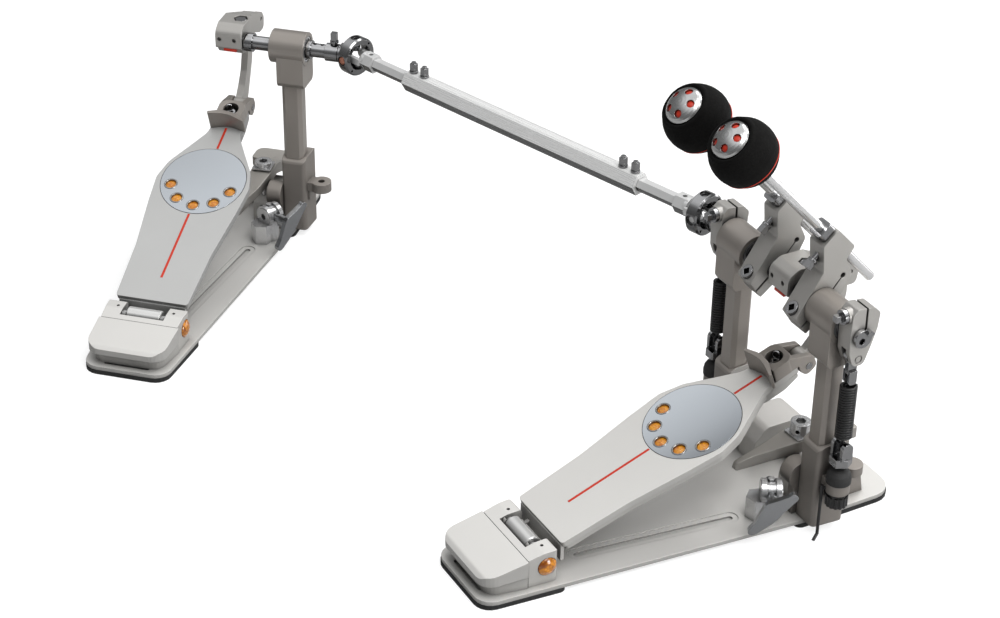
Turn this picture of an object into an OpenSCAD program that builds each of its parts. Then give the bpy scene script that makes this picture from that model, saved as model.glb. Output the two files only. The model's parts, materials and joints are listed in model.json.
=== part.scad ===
// Double bass drum pedal: a right-hand pedal with two beaters and a left-hand
// slave pedal, linked by a telescoping drive shaft with two ring-type joints.
// +Z is up, +Y runs from heel to toe of the right-hand pedal, +X is the
// player's right. The origin is on the floor under its beater shaft.

/* [Layout] */
// Height of the beater shafts above the floor
axle_h = 193; // [191:1:196]
// Distance from pedal centre to a post
post_x = 62; // [62:0.25:63]
// Left pedal position across
slave_x = -597.5; // [-612:0.5:-590]
// Left pedal position along
slave_y = -210.3; // [-225:0.1:-195]
// Left pedal turned outwards by
slave_yaw = 46.5; // [42:0.5:49]

/* [Base] */
// Base plate thickness
plate_t = 3.5; // [3.5:0.5:4.5]
// Rubber under the base plate
pad_t = 4; // [3:0.5:4]
// Half width of the plate at the toe
toe_hw = 62.5; // [61:0.5:66]
// Half width of the plate at the heel
heel_hw = 38; // [37:0.5:42]

/* [Footboard] */
// Angle of the footboard at rest
board_a = 19.8; // [19:0.1:20.5]
// Thickness of the top skin of the footboard
board_t = 5; // [4:0.5:5.5]
// Depth of the edge skirt below the skin
skirt_h = 6; // [4:0.5:7]
// Radius of the round target plate
disc_r = 39.8; // [36:0.1:39.8]
// Radius of each amber stud
stud_r = 5.4; // [4:0.1:5.6]

/* [Beaters] */
// Angle of the beater rods behind the vertical at rest
tilt = 42.9; // [38:0.1:45]
// Offset of a beater rod from the shaft axis
rod_off = 42.6; // [42:0.1:43]
// Beater rod radius
rod_r = 3.8; // [3:0.1:4]
// Beater head radius
head_r = 25.9; // [22:0.1:28]
// Distance of the head centre along the rod
head_p = 158; // [140:1:165]

/* [Shafts] */
// Main shaft radius
axle_r = 6.5; // [6:0.1:6.5]
// Left beater sleeve radius
sleeve_r = 7.5; // [7:0.1:7.5]
// Joint ring outer radius
ring_r = 18; // [17.5:0.1:18.4]
// Hexagonal drive tube, across flats
tube_af = 17.8; // [17:0.2:19]
// Hexagonal sliding rod, across flats
rod_af = 10.6; // [10:0.2:11.4]

/* [Springs] */
// Spring outer radius
spring_r = 7; // [6:0.1:7.5]
// Spring wire radius
wire_r = 1.05; // [0.8:0.05:1.2]

/* [Hidden] */
$fn = 64;
bz = pad_t + plate_t;
pin_y = -231.5;  pin_z = 29.5;
f0 = [0, -216.3, 37.5];
lx = 2;
toe_d = 247;  toe_h = -5.5;
cam_y = 50;  cam_z = -3;
ux_r = -117.9;
ux_l = 123.4;
sp_x = 86.5;
hold_r = [25.5, 43.5];
hold_l = [-35, -17];
clamp_p = [27, 5];

silver = [0.82, 0.82, 0.80];
taupe = [0.55, 0.53, 0.50];
chrome = [0.80, 0.82, 0.84];
dark = [0.08, 0.08, 0.08];

// ---- helpers ------------------------------------------------------------
function un2(v) = v / norm(v);
function wrap(a) = a > 180 ? a - 360 : a < -180 ? a + 360 : a;
// arc points that round the corner b between a and c with radius r
function arc3(a, b, c, r, n) =
  let (u = un2(a - b), v = un2(c - b), co = u * v)
  (r <= 0 || abs(co) > 0.9995) ? [b] :
  let (h = acos(co) / 2, k = b + un2(u + v) * (r / sin(h)),
       p = b + u * (r / tan(h)) - k, q = b + v * (r / tan(h)) - k,
       s = atan2(p[1], p[0]), d = wrap(atan2(q[1], q[0]) - s))
  [for (i = [0:n]) k + r * [cos(s + d * i / n), sin(s + d * i / n)]];
// polygon of [x, y, corner radius] points with rounded corners
function rp(p, n = 5) = let (m = len(p)) [for (i = [0:m - 1])
  each arc3([p[(i + m - 1) % m][0], p[(i + m - 1) % m][1]], [p[i][0], p[i][1]],
            [p[(i + 1) % m][0], p[(i + 1) % m][1]], p[i][2], n)];
module rpoly(p, n = 5) { polygon(rp(p, n)); }
// extrude a (y, z) outline along X from a to b
module ex(a, b) { translate([a, 0, 0]) rotate([90, 0, 90]) linear_extrude(b - a) children(); }
module cx(a, b, r, y = 0, z = 0) { translate([a, y, z]) rotate([0, 90, 0]) cylinder(h = b - a, r = r); }
module box(a, b) { translate(a) cube(b - a); }
module slave() { translate([slave_x, slave_y, 0]) rotate([0, 0, slave_yaw]) children(); }
module board() { translate(f0) rotate([board_a, 0, 0]) children(); }
module axle() { translate([0, 0, axle_h]) children(); }
module leant() { axle() rotate([tilt, 0, 0]) children(); }
module mir() { children(); mirror([1, 0, 0]) children(); }

// ---- base ---------------------------------------------------------------
function base_pts(g = 0) = [[-heel_hw + g, -286.8 + g, 14], [heel_hw - g, -286.8 + g, 14], [toe_hw - g, -8, 30],
  [toe_hw - g, 79 - g, 18], [-toe_hw + g, 79 - g, 18], [-toe_hw + g, -8, 30]];
module groove() {
  for (s = [-1, 1]) translate([s * 24.3, -126.5, bz]) rotate([0, 0, -s * 7.1]) {
    translate([-2.5, -66, -2.3]) cube([5, 132, 4]);
    for (e = [-66, 66]) translate([0, e, -2.3]) cylinder(h = 4, r = 2.5);
    // shallow track around the groove
    translate([-7, -66, -0.7]) cube([14, 132, 4]);
    for (e = [-66, 66]) translate([0, e, -0.7]) cylinder(h = 4, r = 7);
  }
}
module base_plate() {
  color(silver) difference() {
    translate([0, 0, pad_t]) linear_extrude(plate_t) rpoly(base_pts());
    groove();
    // long shallow relief in the underside
    translate([0, -126, pad_t - 1]) linear_extrude(1.6) rpoly([[-7, -76, 6], [7, -76, 6], [7, 60, 6], [-7, 60, 6]]);
    // slot across the heel end
    translate([0, -278.5, bz - 2.2]) linear_extrude(4) rpoly([[-21, -2, 1.9], [21, -2, 1.9], [21, 2, 1.9], [-21, 2, 1.9]]);
    // front notch that lets the drum hoop in
    translate([0, 0, pad_t - 1]) linear_extrude(plate_t + 2) rpoly([[-22, 74, 3], [22, 74, 3], [22, 90, 0], [-22, 90, 0]]);
  }
}
module primary_base_plate() { base_plate(); }
module slave_base_plate() { slave() base_plate(); }
module pads() {
  color(dark) {
    linear_extrude(pad_t) rpoly([[-heel_hw, -287.4, 14], [heel_hw, -287.4, 14], [heel_hw + 6.6, -216, 6], [-heel_hw - 6.6, -216, 6]]);
    difference() {
      linear_extrude(pad_t) rpoly([[-toe_hw - 0.3, -16, 6], [toe_hw + 0.3, -16, 6], [toe_hw + 0.3, 79.6, 18], [-toe_hw - 0.3, 79.6, 18]]);
      translate([0, 0, -1]) linear_extrude(pad_t + 2) rpoly([[-22, 74, 3], [22, 74, 3], [22, 90, 0], [-22, 90, 0]]);
    }
  }
}
module base_pads() { pads(); slave() pads(); }

// post outline, a chamfered rectangle
module post2(g = 0) { w = 9.5 + g; d = 8.2 + g; c = 3.2;
  polygon([[-w + c, -d], [w - c, -d], [w, -d + c], [w, d - c], [w - c, d], [-w + c, d], [-w, d - c], [-w, -d + c]]); }
// cast socket that holds the foot of a post, on the +X side
module socket() {
  difference() {
    intersection() {
      translate([post_x, 0, bz]) linear_extrude(80) rpoly([[-10.7, -11.5, 2.5], [12, -11.5, 4], [14, 13, 4], [13, 17, 3], [-10.7, 17, 2]]);
      ex(post_x - 12, post_x + 16) rpoly([[-12, bz, 0], [-12, 76, 0], [-10.5, 80, 4], [-5, 83, 5], [12, 84, 4], [18, 82, 4], [18, bz, 0]]);
    }
    translate([post_x, 0, 16]) linear_extrude(80) post2();
  }
}
module lug() {
  difference() {
    union() {
      box([post_x + 11, -6.5, 48], [sp_x, 6.5, 57]);
      translate([sp_x, 0, 48]) cylinder(h = 9, r = 9.4);
      box([post_x + 11, -5, 38], [post_x + 14.4, 5, 48]);
    }
    translate([sp_x, 0, 40]) cylinder(h = 20, r = 3.2);
  }
}
// rounded pad beside the socket of the main pedal
module side_pad() {
  box([post_x + 8, 11, 51], [post_x + 15, 17, 60.5]);
  translate([post_x + 14.8, 20, 53]) cylinder(h = 8, r = 8.6);
}
// low casting between the posts: it carries the hoop clamp
module bridge(two) {
  color(silver) union() {
    // high rounded hump on the left
    intersection() {
      translate([0, 0, bz]) linear_extrude(40) rpoly([[two ? -post_x + 10.5 : -62, 8, two ? 0 : 12], [-42, -4, 10], [-19, -4, 6], [-19, 54, 3], [-44, 54, 12], [two ? -post_x + 10.5 : -62, 44, two ? 0 : 10]]);
      ex(-63, -18) rpoly([[-5, bz - 1, 0], [-4, bz, 2], [-2, 28, 8], [7, two ? 40 : 36, 9], [44, two ? 40 : 36, 10], [52, 28, 8], [54, bz, 0], [55, bz - 1, 0]]);
    }
    ex(19, post_x - 10.5) rpoly([[-6, bz, 0], [-6, 26, 5], [4, 33, 5], [50, 30, 5], [54, bz, 0]]);
    difference() {
      ex(-19.5, 19.5) rpoly([[26, bz, 0], [26, 24, 4], [30, 27, 3], [48, 27, 4], [54, bz, 0]]);
      translate([0, 60, bz + 6]) rotate([90, 0, 0]) cylinder(h = 50, r = 5);
    }
    // rounded boss at the foot of the right socket
    cx(38, post_x - 10.5, 11.5, -8.5, 43);
    box([44, -15, bz], [post_x - 10.5, -4, 40]);
  }
  color(taupe) {
    socket();
    lug();
    if (two) { side_pad(); mirror([1, 0, 0]) { socket(); lug(); side_pad(); } }
  }
}
module clampseat() {
  // threaded seat of the fulcrum screw
  translate([clamp_p[0], clamp_p[1], 20]) cylinder(h = 60, r = 3.05);
}
module post_bridge(two) {
  difference() {
    bridge(two);
    clampseat();
  }
}
module primary_post_bridge() { post_bridge(true); }
module slave_post_bridge() { slave() post_bridge(false); }

module post(s = 1) {
  color(taupe) translate([s * post_x, 0, 16]) linear_extrude(axle_h - 16 - 23) post2();
}
module posts() { post(1); post(-1); slave() post(1); }

// bearing housing: a cylinder on the shaft axis with a neck that takes the post
module housing() {
  color(taupe) difference() {
    union() {
      axle() cx(post_x - 18, post_x + 15, 15.6);
      axle() ex(post_x - 11, post_x + 14.5) rpoly([[-14.6, 0, 0], [-14.6, -31, 3], [-12, -35.5, 3], [12, -35.5, 3], [14.6, -31, 3], [14.6, 0, 0]]);
    }
    axle() cx(post_x - 19, post_x + 17, 12);
    translate([post_x, 0, axle_h - 60]) linear_extrude(60 - 23) post2();
  }
}
module bearing_housings() { mir() housing(); slave() housing(); }
module bearing(x, ri) {
  color(chrome) axle() translate([x, 0, 0]) rotate([0, 90, 0]) rotate_extrude()
    polygon([[ri + 0.05, 0], [ri + 2, 0], [ri + 2, 0.8], [10, 0.8], [10, 0], [11.96, 0], [11.96, 7], [10, 7], [10, 6.2], [ri + 2, 6.2], [ri + 2, 7], [ri + 0.05, 7]]);
}
module roller() {
  color(chrome) translate([0, pin_y, pin_z]) rotate([0, 90, 0]) rotate_extrude()
    polygon([[3.06, -15.7], [6.4, -15.7], [7.2, -14.9], [7.2, 14.9], [6.4, 15.7], [3.06, 15.7]]);
}
module bearings() {
  for (x = [post_x - 15.5, post_x + 7.5]) bearing(x, axle_r);
  for (x = [-post_x - 14.5, -post_x + 8.5]) bearing(x, sleeve_r);
  roller();
  slave() { for (x = [post_x - 15.5, post_x + 7.5]) bearing(x, axle_r); roller(); }
}

// ---- heel ---------------------------------------------------------------
module heel_plan(y0, y1, r0, r1) {
  translate([0, 0, bz]) linear_extrude(60) rpoly([[-35.5, y0, r0], [35.5, y0, r0], [37, y1, r1], [-37, y1, r1]], 6);
}
module heel_cover() {
  color(silver) {
    // foot set back under the lip
    translate([0, 0, bz]) linear_extrude(19 - bz) rpoly([[-30.5, -278.5, 11], [30.5, -278.5, 11], [36.4, -246.6, 0.6], [-36.4, -246.6, 0.6]]);
    intersection() {
      heel_plan(-284.5, -246.6, 13, 0.6);
      ex(-60, 60) rpoly([[-290, 18.6, 0], [-290, 23.4, 0], [-284.8, 23.7, 1], [-281, 26.8, 5], [-246.6, 32.6, 0], [-246.6, 18.6, 0]], 6);
    }
  }
}
module hinge_block() {
  color(silver) difference() {
    intersection() {
      heel_plan(-246.2, -220.5, 0.6, 4);
      ex(-60, 60) rpoly([[-246.2, bz, 0], [-246.2, 32.7, 0], [-233, 35.6, 8], [-222, 36, 3], [-218, 30, 0], [-218, bz, 0]]);
    }
    // pocket for the roller and the footboard lugs, open towards the toe
    box([-20.3, -240.5, 19], [20.3, -200, 60]);
    cx(-34, 34, 3.03, pin_y, pin_z);
    for (s = [-1, 1]) {
      translate([s * 38.2, -230, 22.7]) rotate([0, -s * 90, 0]) cylinder(h = 4.2, r = 8.2);
      translate([s * 26, -229.5, 32.5]) cylinder(h = 8, r = 1.4);
    }
  }
}
module heel_covers() { heel_cover(); slave() heel_cover(); }
module hinge_blocks() { hinge_block(); slave() hinge_block(); }
module hpin() { color(chrome) cx(-34, 34, 3, pin_y, pin_z); }
module hinge_pins() { hpin(); slave() hpin(); }
module reflector() {
  color([0.95, 0.6, 0.05]) for (s = [-1, 1]) translate([s * 34.05, -230, 22.7]) rotate([0, s * 90, 0]) rotate_extrude()
    polygon([[0, 0], [7.9, 0], [7.9, 2.6], [6.8, 3.9], [4.2, 5.1], [0, 5.6]]);
}
module heel_reflectors() { reflector(); slave() reflector(); }

// ---- spring adjusters -----------------------------------------------------
module adj_screw() {
  color(chrome) translate([sp_x, 0, 0]) {
    translate([0, 0, 34.4]) cylinder(h = 40.6, r = 2.6);
    translate([0, 0, 74]) cylinder(h = 7, r = 9, $fn = 6);
    for (s = [-1, 1]) {
      translate([s * 6 - 1.6, -5, 80]) cube([3.2, 10, 10]);
      cx(s * 6 - 1.6, s * 6 + 1.6, 5, 0, 90);
    }
    cx(-7.6, 7.6, 2, 0, 90);
  }
}
module adjuster_screws() { mir() adj_screw(); }
module adj_nuts() {
  translate([sp_x, 0, 0]) {
    color([0.55, 0.53, 0.42]) difference() { translate([0, 0, 45]) cylinder(h = 2.9, r = 8.8, $fn = 6); translate([0, 0, 30]) cylinder(h = 20, r = 2.63); }
    color(dark) difference() {
      translate([0, 0, 35.6]) cylinder(h = 9.2, r = 9);
      translate([0, 0, 30]) cylinder(h = 20, r = 2.63);
      for (i = [0:13]) rotate([0, 0, i * 360 / 14]) translate([9.3, 0, 34]) cylinder(h = 12, r = 1.1, $fn = 16);
    }
  }
}
module adjuster_nuts() { mir() adj_nuts(); }
module adj_bush() {
  color(dark) translate([sp_x, 0, 57]) rotate_extrude()
    polygon([[2.65, 0], [10, 0], [10, 4], [9.3, 7.6], [7.4, 10.6], [4.4, 12.4], [2.65, 12.8]]);
}
module adjuster_bushes() { mir() adj_bush(); }
module floor_spur() {
  color(dark) {
    translate([80.5, -10.6, 6]) cylinder(h = 47, r = 1.3);
    translate([80.5, -10.6, 6]) sphere(r = 1.3);
    translate([80.5, -10.6, 6]) rotate([130, 0, 20]) cylinder(h = 6.5, r = 1.3);
    translate([80.5, -9.4, 49.5]) rotate([-70, 0, -30]) cylinder(h = 3.6, r = 1.3);
  }
}

// ---- hoop clamp ------------------------------------------------------------
module clamp_arm(up) {
  color(silver) difference() {
    union() {
      intersection() {
        ex(-6, 38) rpoly(up
          ? [[-52, 41.5, 2], [-50, 48.5, 3], [-38, 52.5, 10], [-22, 57, 12], [-5, 63.5, 8], [15, 63.5, 8], [34, 57, 20],
             [56, 42, 8], [80, 39.5, 3], [80, 31, 2], [54, 31, 8], [34, 46, 20], [14, 54, 8], [-4, 53, 8], [-20, 48, 12], [-36, 43.5, 8]]
          : [[-52, 36, 2], [-50, 44, 3], [-38, 47, 10], [-22, 50, 12], [-4, 60, 8], [14, 61, 8], [34, 55, 20],
             [56, 41, 8], [80, 39, 3], [80, 31, 2], [54, 31, 8], [34, 44, 20], [14, 51, 8], [-4, 50, 8], [-20, 42.4, 12], [-36, 38, 8]]);
        linear_extrude(100) rpoly(up
          ? [[17, -54, 0], [17, -51, 3], [21, -51, 3], [24, -36, 14], [29, -22, 14], [37, -4, 10], [37, 24, 12], [15, 60, 8],
             [15, 74, 3], [-5, 74, 4], [-5, 57, 3], [10, 55, 6], [17, 40, 6]]
          : [[17, -54, 0], [17, -51, 3], [21, -51, 3], [24, -36, 14], [29, -22, 14], [37, -4, 10], [37, 90, 0], [17, 90, 0]]);
      }
      if (!up) translate([0, 0, 31]) linear_extrude(9) rpoly([[-5, 58, 3], [37, 57, 3], [37, 80, 3], [-5, 80, 8]]);
    }
    translate([clamp_p[0], clamp_p[1], 0]) cylinder(h = 90, r = 3.9);
  }
}
module primary_clamp_arm() { clamp_arm(true); }
module slave_clamp_arm() { slave() clamp_arm(false); }
module clamp_screw(z0, ht) {
  color(chrome) translate([clamp_p[0], clamp_p[1], 0]) difference() {
    union() {
      translate([0, 0, 20]) cylinder(h = z0 - 19, r = 3);
      translate([0, 0, z0]) rotate([0, 0, 4]) linear_extrude(1.4) rpoly([[-9, -9, 1], [9, -9, 1], [9, 9, 1], [-9, 9, 1]]);
      translate([0, 0, z0 + 1]) cylinder(h = ht - 1.2, r = 8.2);
      translate([0, 0, z0 + ht - 1.5]) cylinder(h = 1.5, r = 7.4);
    }
    translate([0, 0, z0 + ht - 3.2]) cylinder(h = 6, r = 4.4, $fn = 6);
    if (ht > 6) translate([0, 0, z0 + 5.6]) rotate([0, 90, -52]) cylinder(h = 20, r = 1.8);
  }
}
module clamp_screws() { clamp_screw(64, 11.8); slave() clamp_screw(61.7, 5.9); }
// barrel nut on the angled axis of the wing bolt
module barrel_nut() {
  color(chrome) translate([46, -33, 33]) rotate([0, 0, 60]) difference() {
    union() {
      for (s = [-1, 1]) {
        translate([s * 5.85 - 2.15, 0, 0]) rotate([0, 90, 0]) cylinder(h = 4.3, r = 10);
        translate([s * 8.1 - 0.5, 0, 0]) rotate([0, 90, 0]) cylinder(h = 1, r = 8.6);
      }
      translate([-4, 0, 0]) rotate([0, 90, 0]) cylinder(h = 8, r = 8.2);
      translate([0, 0, bz - 33]) cylinder(h = 33 - bz - 4, r = 8);
      translate([-9, 2, bz - 33]) rotate([0, 0, 12]) cylinder(h = 19, r = 10.4, $fn = 6);
      // small bolt in the gap between the cheeks
      translate([0, 2, 4]) cylinder(h = 6.4, r = 2.9, $fn = 6);
    }
    rotate([90, 0, 0]) cylinder(h = 60, r = 4.05, center = true);
    translate([-9.5, 0, 0]) rotate([0, 90, 0]) cylinder(h = 3.4, r = 3.4, $fn = 6);
    translate([-9, 2, 33 - bz - 50]) cylinder(h = 4, r = 4.2);
  }
}
module barrel_nuts() { barrel_nut(); slave() barrel_nut(); }
// wing bolt with an S-shaped wing
module wing_bolt() {
  color(chrome) translate([46, -33, 33]) rotate([0, 0, -30]) {
    rotate([0, 90, 0]) translate([0, 0, -14]) cylinder(h = 45, r = 4);
    translate([17, 0, 0]) rotate([0, 90, 0]) cylinder(h = 13, r = 6.4);
    translate([28, 0, 0]) rotate([90, 0, 90]) linear_extrude(5) rpoly([[-20, -16.5, 3], [-15, -9.5, 8], [-7.5, 9.5, 7], [3.3, 14, 9], [10.5, 17.5, 6],
      [14.5, 21, 3], [18.5, 16.5, 3], [8, 3.4, 10], [0, -7.5, 10], [-12.5, -18, 5], [-17.5, -20.8, 3]]);
  }
}
module primary_wing_bolt() { wing_bolt(); }
module slave_wing_bolt() { slave() wing_bolt(); }

// ---- footboard -------------------------------------------------------------
function board_pts(g = 0) = [[-33.6 + g, g, 3], [33.6 - g, g, 3], [36 - g, 60, 60], [42.5 - g, 112, 40], [45.2 - g, 142, 14],
  [40 - g, 162, 26], [27 - g, 184, 26], [15.5 - g, 204, 20], [14 - g, 238 - g, 3], [-14 + g, 238 - g, 3], [-15.5 + g, 204, 20],
  [-27 + g, 184, 26], [-40 + g, 162, 26], [-45.2 + g, 142, 14], [-42.5 + g, 112, 40], [-36 + g, 60, 60]];
module footboard() {
  color(silver) {
    board() difference() {
      union() {
        translate([0, 0, -board_t]) linear_extrude(board_t) rpoly(board_pts());
        translate([0, 0, -board_t - skirt_h]) linear_extrude(skirt_h) difference() {
          rpoly(board_pts(2.4));
          rpoly([[-27, 8, 3], [27, 8, 3], [36.5, 134, 12], [31, 158, 12], [8, 196, 8], [-8, 196, 8], [-31, 158, 12], [-36.5, 134, 12]]);
        }
        translate([-2.5, 8, -board_t - skirt_h]) cube([5, 190, skirt_h]);
        translate([-33, 62, -board_t - skirt_h]) cube([66, 4, skirt_h]);
        // deeper cheeks under the tongue
        for (s = [-1, 1]) ex(s * 12 - 1.6, s * 12 + 1.6) rpoly([[190, -6, 0], [190, -11, 2], [204, -14, 6], [222, -13.4, 6], [235.6, -9, 2], [235.6, -6, 0]]);
      }
      translate([0, 144, -2]) cylinder(h = 3, r = disc_r + 0.5);
      translate([lx, 0, 0]) box([-6.6, 234, -20], [6.6, 260, 5]);
    }
    // wall across the heel end
    ex(-31, 31) polygon([[-215.6, 19.5], [-212.6, 19.5], [-212.6, 34], [-215, 34], [-215.6, 33.2]]);
    for (s = [-1, 1]) difference() {
      union() {
        cx(s * 17.8 - 1.7, s * 17.8 + 1.7, 7.2, pin_y, pin_z);
        ex(s * 17.8 - 1.7, s * 17.8 + 1.7) polygon([[pin_y, pin_z - 7.2], [pin_y + 3, pin_z + 6.5], [-214.5, 33], [-200, 34], [-200, 30.5], [-214, 24.5]]);
      }
      cx(s * 17.8 - 5, s * 17.8 + 5, 3.06, pin_y, pin_z);
      board() box([-50, -20, -board_t - skirt_h + 0.01], [50, 3, 10]);
      board() box([-50, 2.4, -board_t - skirt_h], [50, 60, 10]);
    }
  }
}
module primary_footboard() { footboard(); }
module slave_footboard() { slave() footboard(); }
function stud_a(i) = -90 + 36.5 * i;
module target() {
  color([0.72, 0.78, 0.84]) board() translate([0, 144, -2]) difference() {
    cylinder(h = 2.2, r = disc_r);
    for (i = [-2:2]) translate([30 * cos(stud_a(i)), 30 * sin(stud_a(i)), -1]) cylinder(h = 6, r = stud_r + 0.3);
  }
}
module primary_target_plate() { target(); }
module slave_target_plate() { slave() target(); }
module studs() {
  color([0.95, 0.62, 0.08]) board() for (i = [-2:2]) translate([30 * cos(stud_a(i)), 144 + 30 * sin(stud_a(i)), -2])
    rotate_extrude() polygon([[0, 0], [stud_r, 0], [stud_r, 1.8], [stud_r - 0.8, 1.8], [3.4, 0.9], [0, 0.7]]);
}
module primary_studs() { studs(); }
module slave_studs() { slave() studs(); }
// toe clevis: concave front plate, block and two ears for the link pin
module toe_clevis() {
  color(taupe) board() translate([lx, 0, 0]) difference() {
    union() {
      difference() {
        linear_extrude(21) rpoly([[-17, 209.5, 0.8], [0, 214.6, 24], [17, 209.5, 0.8], [17.4, 211.8, 0.6], [6, 217.4, 14], [-6, 217.4, 14], [-17.4, 211.8, 0.6]]);
        // top edge falls from the left corner to the right
        translate([-18, 200, 20.6]) rotate([0, 9, 0]) translate([-10, 0, 0]) cube([70, 30, 20]);
      }
      translate([0, 215.5, 0]) linear_extrude(12.5) rpoly([[-12.6, 0, 1], [12.6, 0, 1], [12.6, 16, 5], [8, 21, 5], [-8, 21, 5], [-12.6, 16, 5]]);
      for (s = [-1, 1]) {
        ex(s * 9.25 - 2.75, s * 9.25 + 2.75) rpoly([[222, 0.02, 0], [222, 12.5, 0], [234, 12, 4], [toe_d + 6, 2, 4], [toe_d + 7, -9, 5], [toe_d - 4, -13, 5], [238.4, -6, 0], [238.4, 0.02, 0]]);
      }
    }
    for (s = [-1, 1]) cx(s * 9.25 - 4, s * 9.25 + 4, 3.03, toe_d, toe_h);
    // deep round recess of the drum-key screw
    translate([0, 225.6, 3]) cylinder(h = 12, r = 7.4);
    box([-6.6, 236.5, -20], [6.6, 280, 30]);
    box([-6.6, 233.9, -20], [6.6, 280, 4]);
  }
}
module primary_toe_clevis() { toe_clevis(); }
module slave_toe_clevis() { slave() toe_clevis(); }
module toe_pin() {
  color(chrome) board() translate([lx, 0, 0]) {
    cx(-12.4, 12.4, 3, toe_d, toe_h);
    difference() {
      union() {
        translate([0, 225.6, 3]) cylinder(h = 2, r = 5.8);
        translate([0, 225.6, 3]) cylinder(h = 5.6, r = 3.6);
      }
      translate([0, 225.6, 6]) cylinder(h = 6, r = 2.2, $fn = 4);
    }
    // small ring of the key
    translate([-3.4, 229.4, 9.4]) rotate([70, 0, 30]) rotate_extrude($fn = 24) translate([3, 0]) circle(r = 0.75, $fn = 12);
    translate([-3.4, 229.4, 4.6]) cylinder(h = 2.4, r = 1);
  }
}
module primary_toe_pin() { toe_pin(); }
module slave_toe_pin() { slave() toe_pin(); }

// ---- link ------------------------------------------------------------------
ty = f0[1] + toe_d * cos(board_a) - toe_h * sin(board_a);
tz = f0[2] + toe_d * sin(board_a) + toe_h * cos(board_a);
module link() {
  color([0.66, 0.65, 0.62]) difference() {
    union() {
      ex(-4.2, 2.2) rpoly([[ty - 4, tz + 7, 3], [22, 122.5, 4], [30, 132, 8], [38, 144, 14], [43, 160, 20], [44, axle_h + cam_z, 1],
        [57, axle_h + cam_z, 1], [57, 165, 20], [52.5, 148, 20], [45, 131, 16], [38, 116, 8], [28, 109.5, 8], [ty - 4, tz - 7, 3]]);
      cx(-4.2, 8.2, 7.8, ty, tz);
      cx(-4.2, 2.2, 8.8, cam_y, axle_h + cam_z);
    }
    cx(-6, 10, 3.06, ty, tz);
    cx(-6, 10, 5.6, cam_y, axle_h + cam_z);
  }
}
module primary_link() { link(); }
module slave_link() { slave() link(); }

// ---- cam -------------------------------------------------------------------
module cam() {
  color(taupe) axle() translate([lx, 0, 0]) difference() {
    union() {
      // hood over the shaft
      ex(-10, 15) rpoly([[-12.5, -3.5, 2], [-12.5, 12, 8], [-3, 18, 8], [18, 18, 0], [18, -6, 3], [8, -12, 5], [-4, -11, 4], [-8, -5, 1.5]]);
      // tapering roof, cut clear of the link
      difference() {
        intersection() {
          ex(-10, 12.5) polygon([[17, 13], [17, 18], [30, 14.2], [cam_y, 7.5], [cam_y, 4.5], [30, 9]]);
          linear_extrude(60, center = true) polygon([[-10, 10], [12.5, 10], [12.5, 52], [4, 52], [-10, 19]]);
        }
        cx(-20, 7, 12, cam_y, cam_z);
      }
      // cheek that carries the link pin
      ex(7, 12.5) rpoly([[14, 18, 0], [20, 17.2, 4], [cam_y - 12, 10, 10], [cam_y + 2, 7, 5], [cam_y + 6.5, 0, 4], [cam_y + 5, -10.5, 4.5], [cam_y - 6, -10.5, 4.5], [30, -4.5, 10], [14, -6, 0]]);
      cx(-7.2, 10, 3, cam_y, cam_z);
      cx(-8, -6.6, 7.2, cam_y, cam_z);
      cx(0.6, 8, 6, cam_y, cam_z);
    }
    cx(-20, 20, axle_r + 0.03);
    // sunk right side inside a raised rim
    ex(13.5, 16) rpoly([[-10.3, -14, 0], [-10.3, 11, 6], [-3.5, 15.8, 6], [19, 15.8, 0], [19, -14, 0]]);
    for (x = [-6.2, 8]) translate([x, -10, 5]) rotate([90, 0, 0]) cylinder(h = 10, r = 2);
    translate([0.9, 0, -6]) rotate([90, 0, 0]) cylinder(h = 20, r = 1.3);
    translate([8.9 - 1.4, 9.5, 14]) cylinder(h = 12, r = 7, $fn = 6);
    // hole near the tip of the cheek
    cx(11.5, 13, 2, cam_y - 1, 1);
  }
}
// hexagon bolt on top of the cam
module cam_bolt() { translate([lx + 7.5, 9.5, 14.02]) cylinder(h = 3.4, r = 5.6, $fn = 6); }
module primary_cam() { cam(); }
module slave_cam() { slave() cam(); }

// ---- beaters -----------------------------------------------------------------
module holder(a, b, br) {
  m = (a + b) / 2;
  color(taupe) leant() difference() {
    ex(a, b) rpoly([[-24, -8, 1.5], [-21, 10.5, 1.5], [19, 21, 3], [33, 39.2, 2], [50.2, 39.2, 2.5], [50.2, 14.6, 2.5], [38.5, 12, 3],
      [34, -2.5, 5], [24, -6.5, 4], [10, -10.5, 5]]);
    cx(a - 1, b + 1, br + 0.03);
    ex(a - 1, b + 1) polygon([[-30, -1], [-4, -1], [-4, 1], [-30, 1]]);
    ex(a - 1, b + 1) polygon([[2, -0.9], [28, 2.9], [28, 4.1], [2, 0.9]]);
    cx(a - 1, b + 1, 2.3, 28, 3.5);
    translate([m, rod_off, 0]) cylinder(h = 60, r = rod_r + 0.03);
    translate([m, -15.5, -20]) cylinder(h = 50, r = 2.6);
    translate([m, -15.5, 6.5]) cylinder(h = 50, r = 5.6);
    translate([m, 0, 30]) rotate([-90, 0, 0]) cylinder(h = 45, r = 2.5);
  }
}
module right_beater_holder() { holder(hold_r[0], hold_r[1], axle_r); }
module left_beater_holder() { holder(hold_l[0], hold_l[1], sleeve_r); }
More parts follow.
